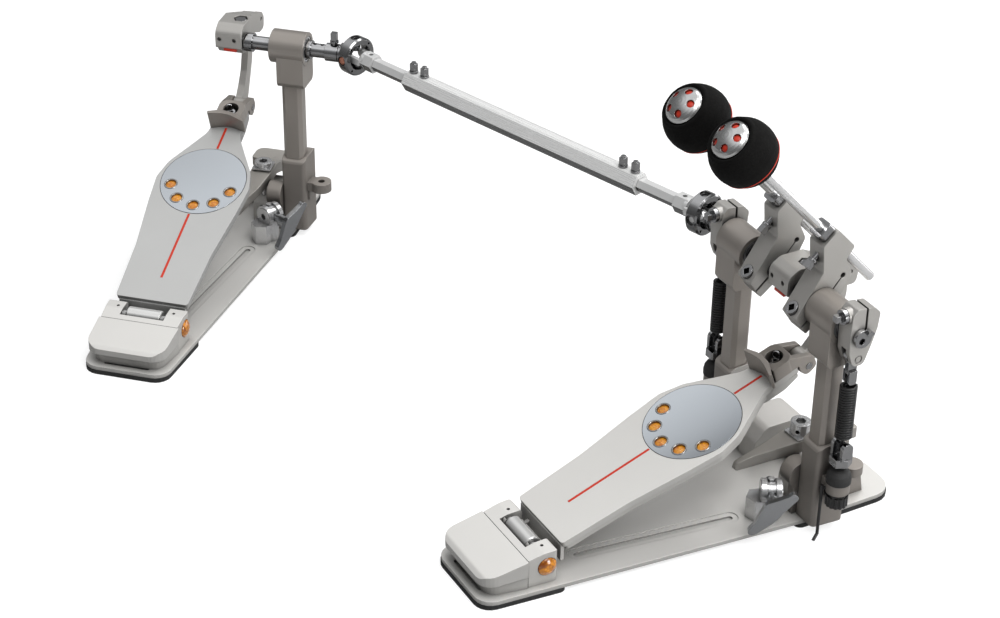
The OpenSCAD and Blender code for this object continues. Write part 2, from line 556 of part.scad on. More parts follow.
module key_screws(m, xr) {
  color(chrome) leant() translate([m, 0, 0]) {
    // shaft clamp screw
    difference() {
      union() {
        translate([0, -15.5, -7.5]) cylinder(h = 15, r = 2.56);
        translate([0, -15.5, 6.6]) cylinder(h = 7.4, r = 5.4);
      }
      translate([0, -15.5, 9.6]) cylinder(h = 6, r = 3.6, $fn = 4);
    }
    // rod clamp screw
    translate([0, 21, 30]) rotate([-90, 0, 0]) cylinder(h = 17.6, r = 2.46);
    translate([0, 20.4, 30]) rotate([-90, 0, 0]) cylinder(h = 1.6, r = 4);
    translate([-2.7, 13.5, 27.3]) cube([5.4, 7.2, 5.4]);
    // memory collar on the rod
    difference() {
      translate([0, rod_off, 40]) linear_extrude(7.5) rpoly([[-7, -7, 3], [7, -7, 3], [7, 7, 3], [-7, 7, 3]]);
      translate([0, rod_off, 36]) cylinder(h = 20, r = rod_r + 0.03);
      for (s = [-1, 1]) translate([s * 3.3, rod_off - 4.6, 43.7]) rotate([90, 0, 0]) cylinder(h = 20, r = 1.7);
    }
  }
  // rocker clamp screw
  color(chrome) axle() {
    translate([xr, -14, 16.8]) rotate([-90, 0, 0]) cylinder(h = 3.2, r = 6);
    translate([xr - 2.6, -20, 14.2]) cube([5.2, 6.4, 5.2]);
    translate([xr, -14, 16.8]) rotate([-90, 0, 0]) cylinder(h = 24.4, r = 2.56);
  }
}
module right_key_screws() { key_screws((hold_r[0] + hold_r[1]) / 2, sp_x); color(chrome) axle() cam_bolt(); }
module left_key_screws() { key_screws((hold_l[0] + hold_l[1]) / 2, -sp_x); }
module brod(m) { color(chrome) leant() translate([m, rod_off, -30]) cylinder(h = 30 + head_p - 10, r = rod_r); }
module right_beater_rod() { brod((hold_r[0] + hold_r[1]) / 2); }
module left_beater_rod() { brod((hold_l[0] + hold_l[1]) / 2); }
function sph(r, a0, a1, n) = [for (i = [0:n]) let (a = a0 + (a1 - a0) * i / n) [r * cos(a), r * sin(a)]];
hb = asin(-19 / head_r);
ht = asin(17 / head_r);
module bhead(m) {
  color(dark) leant() translate([m, rod_off, head_p]) rotate_extrude()
    polygon(concat([[rod_r + 0.03, -19]], sph(head_r, hb, ht, 14), [[16.2, 17], [16.2, 10], [0, 10], [0, -9.96], [rod_r + 0.03, -9.96]]));
}
module right_beater_head() { bhead((hold_r[0] + hold_r[1]) / 2); }
module left_beater_head() { bhead((hold_l[0] + hold_l[1]) / 2); }
module hcap(m) {
  color(chrome) leant() translate([m, rod_off, head_p]) difference() {
    translate([0, 0, 10]) rotate_extrude()
      polygon(concat([[0, 0], [15.9, 0]], [for (i = [0:8]) let (a = 90 * i / 8) [15.9 * cos(a), 6.9 + 8.4 * sin(a)]]));
    for (i = [0:4]) rotate([0, 0, 72 * i + 20]) translate([9, 0, 21.3]) rotate([0, 24, 0]) cylinder(h = 6, r = 3.1);
  }
}
module right_head_cap() { hcap((hold_r[0] + hold_r[1]) / 2); }
module left_head_cap() { hcap((hold_l[0] + hold_l[1]) / 2); }

// rocker: split clamp on the shaft with a fork for the spring hook
module rocker(a, b, br) {
  m = (a + b) / 2;
  color(taupe) axle() {
    difference() {
      union() {
        ex(a, b) rpoly([[-8.8, 20, 3], [-4, 24.5, 3], [11, 22.5, 4], [16.3, 17, 4], [15, 4, 10], [11, -9, 8], [5, -25.5, 5], [-4.5, -25.5, 5], [-8.8, -14, 8], [-9.4, 4, 8]]);
        translate([m, -10.7, 16.8]) rotate([-90, 0, 0]) cylinder(h = 5, r = 6.4);
      }
      cx(a - 1, b + 1, br + 0.03);
      box([a - 1, 3, 4], [b + 1, 5, 30]);
      translate([m, -30, 16.8]) rotate([-90, 0, 0]) cylinder(h = 60, r = 2.6);
      box([m - 3, -20, -40], [m + 3, 20, -11]);
      cx(a - 1, b + 1, 2.2, 0, -20);
      // round end of the pin shows in a shallow recess
      for (s = [a - 1, b - 0.8]) cx(s, s + 1.8, 3.6, 0, -20);
    }
    cx(a, b, 2.2, 0, -20);
  }
}
module right_rocker() { rocker(79, 94, axle_r); }
module left_rocker() { rocker(-94, -79, sleeve_r); }

// ---- shafts --------------------------------------------------------------------
module right_axle() {
  color(chrome) axle() difference() {
    union() {
      cx(-56, -15, 4);
      cx(-15.4, 95, axle_r);
      cx(17.2, 22, 8);
      cx(94.6, 98, 7.6);
      translate([98, 4.6, 4.4]) rotate([45, 0, 0]) box([-1.5, -2.4, -2.4], [2.6, 2.4, 2.4]);
    }
    translate([94, -1.4, -1.6]) rotate([0, 90, 0]) cylinder(h = 8, r = 3, $fn = 6);
  }
}
// yoke at the end of a shaft; its arms point along +X, its pins along Y;
// hx gives it a hexagonal collar
module yoke(pin_r, len, hx = false) {
  if (hx) {
    difference() {
      hexx(-14 - len, -14, 15.4);
      translate([-14 - len / 2, 0, 5]) cylinder(h = 8, r = 2);
    }
    cx(-16.5, -13, 8.4);
  } else {
    cx(-14 - len, -14, 7.4);
    cx(-15.6, -13, 8.2);
  }
  for (s = [-1, 1]) {
    box([-14, s * 7.8 - 1.8, -3], [0, s * 7.8 + 1.8, 3]);
    translate([0, s * 7.8 - 1.8, 0]) rotate([-90, 0, 0]) cylinder(h = 3.6, r = 4.2);
    translate([0, s * 7 - (s < 0 ? 8.6 : 0), 0]) rotate([-90, 0, 0]) cylinder(h = 8.6, r = pin_r);
  }
}
module left_axle() {
  color(chrome) axle() {
    difference() {
      cx(-96, -16, sleeve_r);
      cx(-60, -10, 4.06);
    }
    translate([ux_r, 0, 0]) rotate([90, 0, 180]) yoke(2.8, 9);
  }
}
module slave_axle() {
  color(chrome) slave() axle() {
    difference() {
      cx(lx - 12, 99, axle_r);
      for (x = [84.5, 91.5]) translate([x, 0, 4.6]) cylinder(h = 4, r = 1.9);
    }
    cx(17.2, 25, 8.8);
    cx(post_x + 15.5, 81.5, 8.8);
    difference() {
      cx(95.5, 107, 8.4);
      translate([103, 0, 6.2]) cylinder(h = 4, r = 3);
    }
    translate([ux_l, 0, 0]) rotate([90, 0, 0]) yoke(2.8, 13);
    // key bolt of the yoke collar
    translate([103, 0, 6]) cylinder(h = 5, r = 2.6);
    translate([103, 0, 10.4]) cylinder(h = 1.6, r = 4);
    translate([100.3, -2.7, 12]) cube([5.4, 5.4, 8]);
    cam_bolt();
  }
}

// ---- drive shaft -----------------------------------------------------------------
pr = [ux_r, 0, axle_h];
pl = [slave_x + ux_l * cos(slave_yaw), slave_y + ux_l * sin(slave_yaw), axle_h];
dl = norm(pr - pl);
da = atan2(pr[1] - pl[1], pr[0] - pl[0]);
module drive() { translate(pl) rotate([0, 0, da]) children(); }
module hexx(a, b, af) { translate([a, 0, 0]) rotate([0, 90, 0]) rotate([0, 0, 30]) cylinder(h = b - a, r = af / sqrt(3), $fn = 6); }
tube_a = 70;
tube_b = dl - 68.3;
module drive_tube() {
  color([0.88, 0.88, 0.86]) drive() difference() {
    hexx(tube_a, tube_b, tube_af);
    hexx(tube_a - 1, tube_b + 1, rod_af + 0.3);
    for (x = [tube_a + 6, tube_a + 19.5, tube_b - 6, tube_b - 19.5]) translate([x, 0, 2]) rotate([0, 0, 0]) cylinder(h = 20, r = 2.2);
    // fine lengthwise lines on the upper face
    for (s = [-1, 1]) translate([tube_a + 30, s * 3.4 - 0.25, tube_af / 2 - 0.25]) cube([tube_b - tube_a - 60, 0.5, 1]);
  }
}
module drive_rods() {
  color(chrome) drive() {
    hexx(24, 150, rod_af);
    mirror([1, 0, 0]) yoke(2.6, 13, true);
    translate([dl, 0, 0]) yoke(2.6, 13, true);
    hexx(dl - 150, dl - 24, rod_af);
  }
}
module tube_key_screws() {
  color(chrome) drive() for (x = [tube_a + 6, tube_a + 19.5, tube_b - 6, tube_b - 19.5]) translate([x, 0, 0]) {
    translate([0, 0, rod_af / 2 + 0.1]) cylinder(h = 7, r = 2.16);
    translate([0, 0, tube_af / 2 + 0.3]) cylinder(h = 1.6, r = 4);
    translate([-2.6, -2.6, tube_af / 2 + 1.6]) cube([5.2, 5.2, 7.4]);
    translate([0, 0, tube_af / 2 + 8.8]) cylinder(h = 1.6, r = 2.2);
  }
}
// ring of a joint: axis along X, four bores for the yoke pins
module jring() {
  color(taupe) difference() {
    translate([-6, 0, 0]) rotate([0, 90, 0]) rotate_extrude() polygon([[12.2, 0], [ring_r - 1.5, 0], [ring_r, 1.5], [ring_r, 10.5], [ring_r - 1.5, 12], [12.2, 12]]);
    rotate([90, 0, 0]) cylinder(h = 60, r = 2.66, center = true);
    cylinder(h = 60, r = 3.4, center = true);
    for (i = [0:3]) rotate([90 * i, 0, 0]) translate([0, 0, ring_r - 2]) cylinder(h = 5, r = 4.4);
    for (i = [0:3]) rotate([90 * i + 45, 0, 0]) translate([0, 0, 15]) rotate([0, 90, 0]) cylinder(h = 60, r = 1.2, center = true);
  }
}
module right_joint_ring() { drive() translate([dl, 0, 0]) jring(); }
module left_joint_ring() { drive() jring(); }

// ---- springs ---------------------------------------------------------------------
coil_a = 98;
coil_b = 146;
coils = 20;
module coil() {
  pit = (coil_b - coil_a) / coils;
  color(dark) translate([sp_x, 0, 0]) {
    translate([0, 0, coil_a]) rotate_extrude() polygon(concat([[spring_r - 2 * wire_r, 0]],
      [for (i = [0:coils - 1], k = [0:4]) [spring_r - wire_r + wire_r * sin(45 * k), pit * i + pit * k / 4]],
      [[spring_r - 2 * wire_r, pit * coils]]));
    // lower end loop on the swivel pin
    difference() {
      union() {
        cx(-1.1, 1.1, 4.2, 0, 90);
        box([-1.1, -1.1, 93], [1.1, 1.1, coil_a]);
        translate([-1.1, -spring_r + 1, coil_a - 2]) cube([2.2, 2 * spring_r - 2, 2]);
      }
      cx(-3, 3, 2.06, 0, 90);
    }
    // upper end loop
    difference() {
      union() {
        cx(-1.1, 1.1, 4.2, 0, 152);
        box([-1.1, -1.1, coil_b], [1.1, 1.1, 149]);
        translate([-1.1, -spring_r + 1, coil_b]) cube([2.2, 2 * spring_r - 2, 1.6]);
      }
      cx(-3, 3, 2.5, 0, 152);
    }
  }
}
module right_spring() { coil(); }
module left_spring() { mirror([1, 0, 0]) coil(); }
// forked plate that joins the spring to the rocker pin
module shook() {
  color(chrome) translate([sp_x, 0, 0]) difference() {
    union() {
      cx(-2.3, 2.3, 6.8, 0, axle_h - 20);
      ex(-2.3, 2.3) polygon([[-4.6, axle_h - 22], [4.6, axle_h - 22], [3.6, 157.2], [-3.6, 157.2]]);
      for (s = [-1, 1]) {
        box([s * 2.9 - 1.1, -3.6, 150], [s * 2.9 + 1.1, 3.6, 160]);
        cx(s * 2.9 - 1.1, s * 2.9 + 1.1, 3.6, 0, 151);
      }
      cx(-4, 4, 2, 0, 152);
    }
    cx(-4, 4, 3.8, 0, axle_h - 20);
  }
}
module right_spring_hook() { shook(); }
module left_spring_hook() { mirror([1, 0, 0]) shook(); }

primary_base_plate();
slave_base_plate();
base_pads();
primary_post_bridge();
slave_post_bridge();
posts();
bearing_housings();
bearings();
heel_covers();
hinge_blocks();
hinge_pins();
heel_reflectors();
adjuster_screws();
adjuster_nuts();
adjuster_bushes();
clamp_screws();
barrel_nuts();
floor_spur();
primary_clamp_arm();
slave_clamp_arm();
primary_wing_bolt();
slave_wing_bolt();
primary_footboard();
primary_target_plate();
primary_studs();
primary_toe_clevis();
primary_toe_pin();
slave_footboard();
slave_target_plate();
slave_studs();
slave_toe_clevis();
slave_toe_pin();
primary_link();
slave_link();
right_axle();
primary_cam();
right_beater_holder();
right_beater_rod();
right_beater_head();
right_head_cap();
right_rocker();
right_key_screws();
left_axle();
left_beater_holder();
left_beater_rod();
left_beater_head();
left_head_cap();
left_rocker();
left_key_screws();
slave_axle();
slave_cam();
drive_tube();
drive_rods();
tube_key_screws();
right_joint_ring();
left_joint_ring();
right_spring();
left_spring();
right_spring_hook();
left_spring_hook();
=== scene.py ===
import bpy
import bmesh
import json
import math
from math import sin, cos, tan, pi, radians, sqrt, atan2, asin, acos
from mathutils import Matrix, Vector


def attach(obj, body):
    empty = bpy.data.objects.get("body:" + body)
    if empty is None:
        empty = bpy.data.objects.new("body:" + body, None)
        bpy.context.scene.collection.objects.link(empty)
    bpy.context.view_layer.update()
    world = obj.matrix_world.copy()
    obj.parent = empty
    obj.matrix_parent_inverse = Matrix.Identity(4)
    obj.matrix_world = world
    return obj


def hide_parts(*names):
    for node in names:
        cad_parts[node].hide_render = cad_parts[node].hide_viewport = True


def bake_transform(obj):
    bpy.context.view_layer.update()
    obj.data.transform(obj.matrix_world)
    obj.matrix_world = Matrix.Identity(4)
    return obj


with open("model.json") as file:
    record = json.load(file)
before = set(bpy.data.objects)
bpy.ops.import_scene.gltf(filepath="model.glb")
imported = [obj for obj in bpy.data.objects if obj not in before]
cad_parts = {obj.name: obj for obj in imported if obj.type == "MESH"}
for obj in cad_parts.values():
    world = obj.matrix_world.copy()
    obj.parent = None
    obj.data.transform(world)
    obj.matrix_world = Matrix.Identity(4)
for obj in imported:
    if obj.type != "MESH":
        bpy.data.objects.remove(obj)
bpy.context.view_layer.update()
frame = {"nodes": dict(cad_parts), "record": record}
N = frame["nodes"]

# ---------------------------------------------------------------- layout (mm)
AXLE = 193.0
SX, SY, SYAW = -597.5, -210.3, radians(46.5)
F0 = (0.0, -216.3, 37.5)
BA = radians(19.8)
TILT = radians(42.9)
MM = 0.001


def T(x, y, z):
    return Matrix.Translation((x, y, z))


def RX(a):
    return Matrix.Rotation(a, 4, "X")


def RY(a):
    return Matrix.Rotation(a, 4, "Y")


def RZ(a):
    return Matrix.Rotation(a, 4, "Z")


PRIMARY = Matrix.Identity(4)
SLAVE = T(SX, SY, 0) @ RZ(SYAW)
BOARD = T(*F0) @ RX(BA)
LEANT = T(0, 0, AXLE) @ RX(TILT)
PR = Vector((-117.9, 0, AXLE))
PL = Vector((SX + 123.4 * cos(SYAW), SY + 123.4 * sin(SYAW), AXLE))
DRIVE = T(*PL) @ RZ(atan2(PR.y - PL.y, PR.x - PL.x))


# ---------------------------------------------------------------- materials
def new_mat(name):
    m = bpy.data.materials.new(name)
    m.use_nodes = True
    nt = m.node_tree
    nt.nodes.clear()
    out = nt.nodes.new("ShaderNodeOutputMaterial")
    b = nt.nodes.new("ShaderNodeBsdfPrincipled")
    nt.links.new(b.outputs[0], out.inputs[0])
    return m, nt, b


def coords(nt, scale=(1, 1, 1), rot=(0, 0, 0)):
    tc = nt.nodes.new("ShaderNodeTexCoord")
    mp = nt.nodes.new("ShaderNodeMapping")
    mp.inputs["Scale"].default_value = scale
    mp.inputs["Rotation"].default_value = rot
    nt.links.new(tc.outputs["Object"], mp.inputs["Vector"])
    return mp.outputs["Vector"]


def local(nt, M, scale=(1, 1, 1)):
    """Coordinates (metres) in the frame M, divided by scale along its own axes."""
    tc = nt.nodes.new("ShaderNodeTexCoord")
    mp = nt.nodes.new("ShaderNodeMapping")
    mp.vector_type = "TEXTURE"
    mp.inputs["Location"].default_value = M.to_translation() * MM
    mp.inputs["Rotation"].default_value = M.to_euler()
    mp.inputs["Scale"].default_value = scale
    nt.links.new(tc.outputs["Object"], mp.inputs["Vector"])
    return mp.outputs["Vector"]


def noise(nt, vec, scale, detail=3.0, rough=0.55, dist=0.0):
    n = nt.nodes.new("ShaderNodeTexNoise")
    n.inputs["Scale"].default_value = scale
    n.inputs["Detail"].default_value = detail
    n.inputs["Roughness"].default_value = rough
    n.inputs["Distortion"].default_value = dist
    nt.links.new(vec, n.inputs["Vector"])
    return n.outputs["Fac"]


def ramp(nt, fac, stops):
    r = nt.nodes.new("ShaderNodeValToRGB")
    e = r.color_ramp.elements
    while len(e) < len(stops):
        e.new(0.5)
    for i, (p, c) in enumerate(stops):
        e[i].position = p
        e[i].color = (c[0], c[1], c[2], 1) if hasattr(c, "__len__") else (c, c, c, 1)
    nt.links.new(fac, r.inputs[0])
    return r.outputs[0]


def maprange(nt, fac, a, b, lo, hi):
    n = nt.nodes.new("ShaderNodeMapRange")
    n.inputs[1].default_value = a
    n.inputs[2].default_value = b
    n.inputs[3].default_value = lo
    n.inputs[4].default_value = hi
    nt.links.new(fac, n.inputs[0])
    return n.outputs[0]


def bump(nt, h, strength, dist, normal=None):
    n = nt.nodes.new("ShaderNodeBump")
    n.inputs["Strength"].default_value = strength
    n.inputs["Distance"].default_value = dist
    nt.links.new(h, n.inputs["Height"])
    if normal is not None:
        nt.links.new(normal, n.inputs["Normal"])
    return n.outputs["Normal"]


def bevel(nt, radius, samples=6):
    n = nt.nodes.new("ShaderNodeBevel")
    n.samples = samples
    n.inputs["Radius"].default_value = radius
    return n.outputs["Normal"]


def metal(name, base, var, rough, rvar, metallic=1.0, grain=900.0, gstr=0.12, gdist=0.00015,
          big=18.0, stretch=(1, 1, 1), bev=0.0006, coat=0.0, spec=0.5, painted_underside_shade=None, painted_low_strip_shade=None, second=None, grain_frame=None, dish=None, painted_crevice_shade=(0.012, 0.22)):
    """Satin or cast metal: broad tone drift, fine grain in the roughness and bump, softened edges.
    painted_underside_shade is painted shade on faces that look down and sideways, painted_low_strip_shade painted shade
    on the part's lowest strip, second another tone past a plane."""
    m, nt, b = new_mat(name)
    v = coords(nt)
    vs = local(nt, grain_frame, stretch) if grain_frame else coords(nt, stretch)
    drift = noise(nt, v, big, 3.0, 0.5)
    fine = noise(nt, vs, grain, 4.0, 0.65)
    mixf = nt.nodes.new("ShaderNodeMath")
    mixf.operation = "MULTIPLY_ADD"
    nt.links.new(drift, mixf.inputs[0])
    mixf.inputs[1].default_value = 0.7
    sc = nt.nodes.new("ShaderNodeMath")
    sc.operation = "MULTIPLY"
    nt.links.new(fine, sc.inputs[0])
    sc.inputs[1].default_value = 0.3
    nt.links.new(sc.outputs[0], mixf.inputs[2])
    lo = [max(0.0, c - var) for c in base]
    hi = [min(1.0, c + var) for c in base]
    col = ramp(nt, mixf.outputs[0], [(0.30, lo), (0.70, hi)])
    if second:
        base2, mask = second(nt)
        col2 = ramp(nt, mixf.outputs[0], [(0.30, [c - var * 0.7 for c in base2]), (0.70, [c + var * 0.7 for c in base2])])
        mx = nt.nodes.new("ShaderNodeMix")
        mx.data_type = "RGBA"
        nt.links.new(mask, mx.inputs["Factor"])
        nt.links.new(col, mx.inputs[6])
        nt.links.new(col2, mx.inputs[7])
        col = mx.outputs[2]
    # painted shade: faces turned down and sideways, and the lowest strip, are darkened in the base colour
    for kind, val in (("Normal", painted_underside_shade), ("Object", painted_low_strip_shade)):
        if val:
            tcn = nt.nodes.new("ShaderNodeTexCoord")
            sp = nt.nodes.new("ShaderNodeSeparateXYZ")
            nt.links.new(tcn.outputs[kind], sp.inputs[0])
            if kind == "Normal":
                f = ramp(nt, maprange(nt, sp.outputs[2], -1.0, 1.0, 0.0, 1.0), [(val[2] if len(val) > 2 else 0.15, val[0]), (0.5, val[1]), (0.88, 1.0)])
            else:
                f = maprange(nt, sp.outputs[2], val[0], val[1], val[2], 1.0)
            vm = nt.nodes.new("ShaderNodeVectorMath")
            vm.operation = "SCALE"
            nt.links.new(col, vm.inputs[0])
            nt.links.new(f, vm.inputs["Scale"])
            col = vm.outputs[0]
    if painted_crevice_shade:
        # painted shade: ambient occlusion darkens inner corners and seams in the base colour
        ao = nt.nodes.new("ShaderNodeAmbientOcclusion")
        ao.samples = 6
        ao.inputs["Distance"].default_value = painted_crevice_shade[0]
        f = maprange(nt, ao.outputs["AO"], 0.15, 0.85, painted_crevice_shade[1], 1.0)
        vm = nt.nodes.new("ShaderNodeVectorMath")
        vm.operation = "SCALE"
        nt.links.new(col, vm.inputs[0])
        nt.links.new(f, vm.inputs["Scale"])
        col = vm.outputs[0]
    nt.links.new(col, b.inputs["Base Color"])
    nt.links.new(maprange(nt, fine, 0.3, 0.7, rough - rvar, rough + rvar), b.inputs["Roughness"])
    b.inputs["Metallic"].default_value = metallic
    b.inputs["Specular IOR Level"].default_value = spec
    if coat:
        b.inputs["Coat Weight"].default_value = coat
        b.inputs["Coat Roughness"].default_value = 0.25
    nrm = bevel(nt, bev) if bev else None
    if dish:
        dot = nt.nodes.new("ShaderNodeVectorMath")
        dot.operation = "DOT_PRODUCT"
        lv = local(nt, dish[0])
        nt.links.new(lv, dot.inputs[0])
        nt.links.new(lv, dot.inputs[1])
        nrm = bump(nt, dot.outputs["Value"], 1.0, dish[1], nrm)
    nt.links.new(bump(nt, fine, gstr, gdist, nrm), b.inputs["Normal"])
    return m


def chrome_mat(name, base=(0.66, 0.66, 0.67), rough=0.11, stretch=(1, 1, 1), bev=0.0004, gstr=0.02, painted_underside_shade=(0.10, 0.46)):
    return metal(name, base, 0.03, rough, 0.035, 1.0, 1400.0, gstr, 0.00008, 60.0, stretch, bev, painted_underside_shade=painted_underside_shade)


def past(base2, M, axis, hi=None, lo=None):
    """Mask for metal(second=...): 1 where the coordinate is above hi or below lo (mm) in the frame M."""
    def make(nt):
        sp = nt.nodes.new("ShaderNodeSeparateXYZ")
        nt.links.new(local(nt, M), sp.inputs[0])
        v = sp.outputs[axis]
        f = None
        if hi is not None:
            f = maprange(nt, v, hi * MM - 0.0001, hi * MM + 0.0001, 0.0, 1.0)
        if lo is not None:
            g = maprange(nt, v, lo * MM - 0.0001, lo * MM + 0.0001, 1.0, 0.0)
            if f is None:
                f = g
            else:
                mx = nt.nodes.new("ShaderNodeMath")
                mx.operation = "MAXIMUM"
                nt.links.new(f, mx.inputs[0])
                nt.links.new(g, mx.inputs[1])
                f = mx.outputs[0]
        return base2, f
    return make


def rubber_mat(name, base=(0.022, 0.022, 0.022)):
    m, nt, b = new_mat(name)
    v = coords(nt)
    f1 = noise(nt, v, 700.0, 4.0, 0.6)
    f2 = noise(nt, v, 40.0, 2.0, 0.5)
    nt.links.new(ramp(nt, f2, [(0.3, [c * 0.75 for c in base]), (0.7, [c * 1.5 for c in base])]), b.inputs["Base Color"])
    nt.links.new(maprange(nt, f1, 0.3, 0.7, 0.55, 0.75), b.inputs["Roughness"])
    b.inputs["Specular IOR Level"].default_value = 0.35
    nt.links.new(bump(nt, f1, 0.25, 0.0002, bevel(nt, 0.0006)), b.inputs["Normal"])
    return m


MAT = {}
TAUPE = (0.38, 0.348, 0.318)
HOLD = (0.50, 0.485, 0.46)
CAST = (0.70, 0.68, 0.65)
# painted shade: several materials below darken their down- and side-facing faces and inner corners in the base colour
MAT["aluminium_light"] = metal("aluminium_light", (0.79, 0.775, 0.745), 0.02, 0.40, 0.06, 0.30, 1500.0, 0.10, 0.00012, 14.0, painted_underside_shade=(0.32, 0.62))
MAT["cast_silver"] = metal("cast_silver", CAST, 0.025, 0.46, 0.07, 0.35, 1100.0, 0.16, 0.00018, 16.0, bev=0.0012, painted_underside_shade=(0.32, 0.62))
MAT["cast_taupe"] = metal("cast_taupe", TAUPE, 0.016, 0.34, 0.06, 0.5, 1300.0, 0.14, 0.00014, 22.0, bev=0.0010, painted_underside_shade=(0.6, 0.9))
HOLDER = metal("cast_holder", HOLD, 0.016, 0.34, 0.06, 0.45, 1300.0, 0.12, 0.00014, 22.0, bev=0.0008, painted_underside_shade=(0.6, 0.9))
MAT["chrome"] = chrome_mat("chrome")
MAT["satin_nickel"] = metal("satin_nickel", (0.44, 0.435, 0.42), 0.03, 0.22, 0.05, 0.95, 1200.0, 0.06, 0.0001, 40.0, bev=0.0008, painted_underside_shade=(0.6, 0.9))
CAP = metal("satin_cap", (0.66, 0.66, 0.655), 0.015, 0.24, 0.03, 1.0, 1200.0, 0.02, 0.00006, 50.0, bev=0.0004)
ROLLER = metal("satin_roller", (0.80, 0.80, 0.79), 0.02, 0.34, 0.05, 0.3, 1200.0, 0.06, 0.0001, 40.0, bev=0.0004)
MAT["brushed_link"] = metal("brushed_link", (0.55, 0.53, 0.50), 0.03, 0.34, 0.06, 0.6, 900.0, 0.12, 0.00012, 30.0, (1, 1, 0.12), painted_underside_shade=(0.6, 0.9))
MAT["tube_aluminium"] = metal("tube_aluminium", (0.96, 0.96, 0.95), 0.015, 0.28, 0.05, 0.25, 900.0, 0.02, 0.0001, 20.0, (25, 1, 1), bev=0.0004, grain_frame=DRIVE, painted_underside_shade=(0.07, 0.9, 0.30), painted_crevice_shade=None)
RODS = metal("drawn_rods", (0.90, 0.90, 0.895), 0.015, 0.20, 0.05, 0.35, 900.0, 0.02, 0.0001, 20.0, (25, 1, 1), bev=0.0004, grain_frame=DRIVE, painted_underside_shade=(0.09, 0.85, 0.30), painted_crevice_shade=(0.006, 0.4))
MAT["rubber_black"] = rubber_mat("rubber_black")
MAT["black_steel"] = metal("black_steel", (0.014, 0.014, 0.014), 0.005, 0.34, 0.08, 0.0, 900.0, 0.15, 0.0001, 60.0, bev=0.0003)
SATIN_CHROME = chrome_mat("satin_chrome", (0.74, 0.74, 0.745), 0.24, gstr=0.05, painted_underside_shade=(0.55, 0.85))
SATIN_CHROME.node_tree.nodes["Principled BSDF"].inputs["Metallic"].default_value = 0.75
ARM = metal("cast_arm", (0.50, 0.475, 0.44), 0.02, 0.40, 0.07, 0.4, 1100.0, 0.16, 0.00018, 16.0, bev=0.0012, painted_underside_shade=(0.32, 0.62))
BEARING = metal("bearing_and_roller", (0.66, 0.66, 0.67), 0.03, 0.16, 0.04, 0.6, 1400.0, 0.03, 0.0001, 60.0, bev=0.0004, second=past((0.84, 0.835, 0.82), PRIMARY, 2, None, 100.0))
BEATER_ROD = metal("beater_rods", (0.80, 0.80, 0.80), 0.02, 0.16, 0.03, 0.86, 1400.0, 0.02, 0.0001, 40.0, bev=0.0003)
DISC = {tag + "_target_plate": metal("mirror_disc_" + tag, (0.62, 0.655, 0.695), 0.012, 0.13, 0.03, 1.0, 1200.0, 0.02, 0.00005, 10.0, bev=0.0003, dish=(M @ BOARD @ T(0, 144, 0), 1.15), painted_crevice_shade=None)
        for tag, M in (("primary", PRIMARY), ("slave", SLAVE))}
BRIDGE = {
    "primary_post_bridge": metal("cast_silver_main", CAST, 0.025, 0.46, 0.07, 0.35, 1100.0, 0.16, 0.00018, 16.0, bev=0.0014, second=past(TAUPE, PRIMARY, 0, 37.5, -51.35), painted_underside_shade=(0.32, 0.62)),
    "slave_post_bridge": metal("cast_silver_slave", CAST, 0.025, 0.46, 0.07, 0.35, 1100.0, 0.16, 0.00018, 16.0, bev=0.0014, second=past(TAUPE, SLAVE, 0, 37.5), painted_underside_shade=(0.32, 0.62)),
}


def amber_mat(name, dark, light, cell, painted_glow=0.04):
    m, nt, b = new_mat(name)
    v = coords(nt)
    vo = nt.nodes.new("ShaderNodeTexVoronoi")
    vo.inputs["Scale"].default_value = cell
    nt.links.new(v, vo.inputs["Vector"])
    f2 = noise(nt, v, 120.0, 2.0)
    mix = nt.nodes.new("ShaderNodeMath")
    mix.operation = "MULTIPLY_ADD"
    nt.links.new(vo.outputs["Distance"], mix.inputs[0])
    mix.inputs[1].default_value = 0.55
    nt.links.new(f2, mix.inputs[2])
    nt.links.new(ramp(nt, mix.outputs[0], [(0.45, light), (1.0, dark)]), b.inputs["Base Color"])
    nt.links.new(maprange(nt, f2, 0.3, 0.7, 0.10, 0.2), b.inputs["Roughness"])
    b.inputs["Coat Weight"].default_value = 0.9
    b.inputs["Coat Roughness"].default_value = 0.05
    # painted glow: a faint orange emission makes the amber shine without a lamp
    b.inputs["Emission Color"].default_value = (1.0, 0.33, 0.01, 1)
    b.inputs["Emission Strength"].default_value = painted_glow
    nt.links.new(bump(nt, vo.outputs["Distance"], 0.45, 0.0004, bevel(nt, 0.0003)), b.inputs["Normal"])
    return m


MAT["amber_plastic"] = amber_mat("amber_plastic", (0.55, 0.15, 0.002), (0.93, 0.42, 0.015), 520.0)
AMBER_LENS = amber_mat("amber_lens", (0.20, 0.045, 0.001), (0.80, 0.30, 0.008), 420.0, 0.02)


def red_mat(name, base=(0.62, 0.035, 0.012)):
    m, nt, b = new_mat(name)
    v = coords(nt)
    f = noise(nt, v, 600.0, 3.0)
    nt.links.new(ramp(nt, f, [(0.3, [c * 0.85 for c in base]), (0.7, [min(1, c * 1.12) for c in base])]), b.inputs["Base Color"])
    nt.links.new(maprange(nt, f, 0.3, 0.7, 0.30, 0.45), b.inputs["Roughness"])
    nt.links.new(bump(nt, f, 0.1, 0.0001, bevel(nt, 0.0002)), b.inputs["Normal"])
    return m


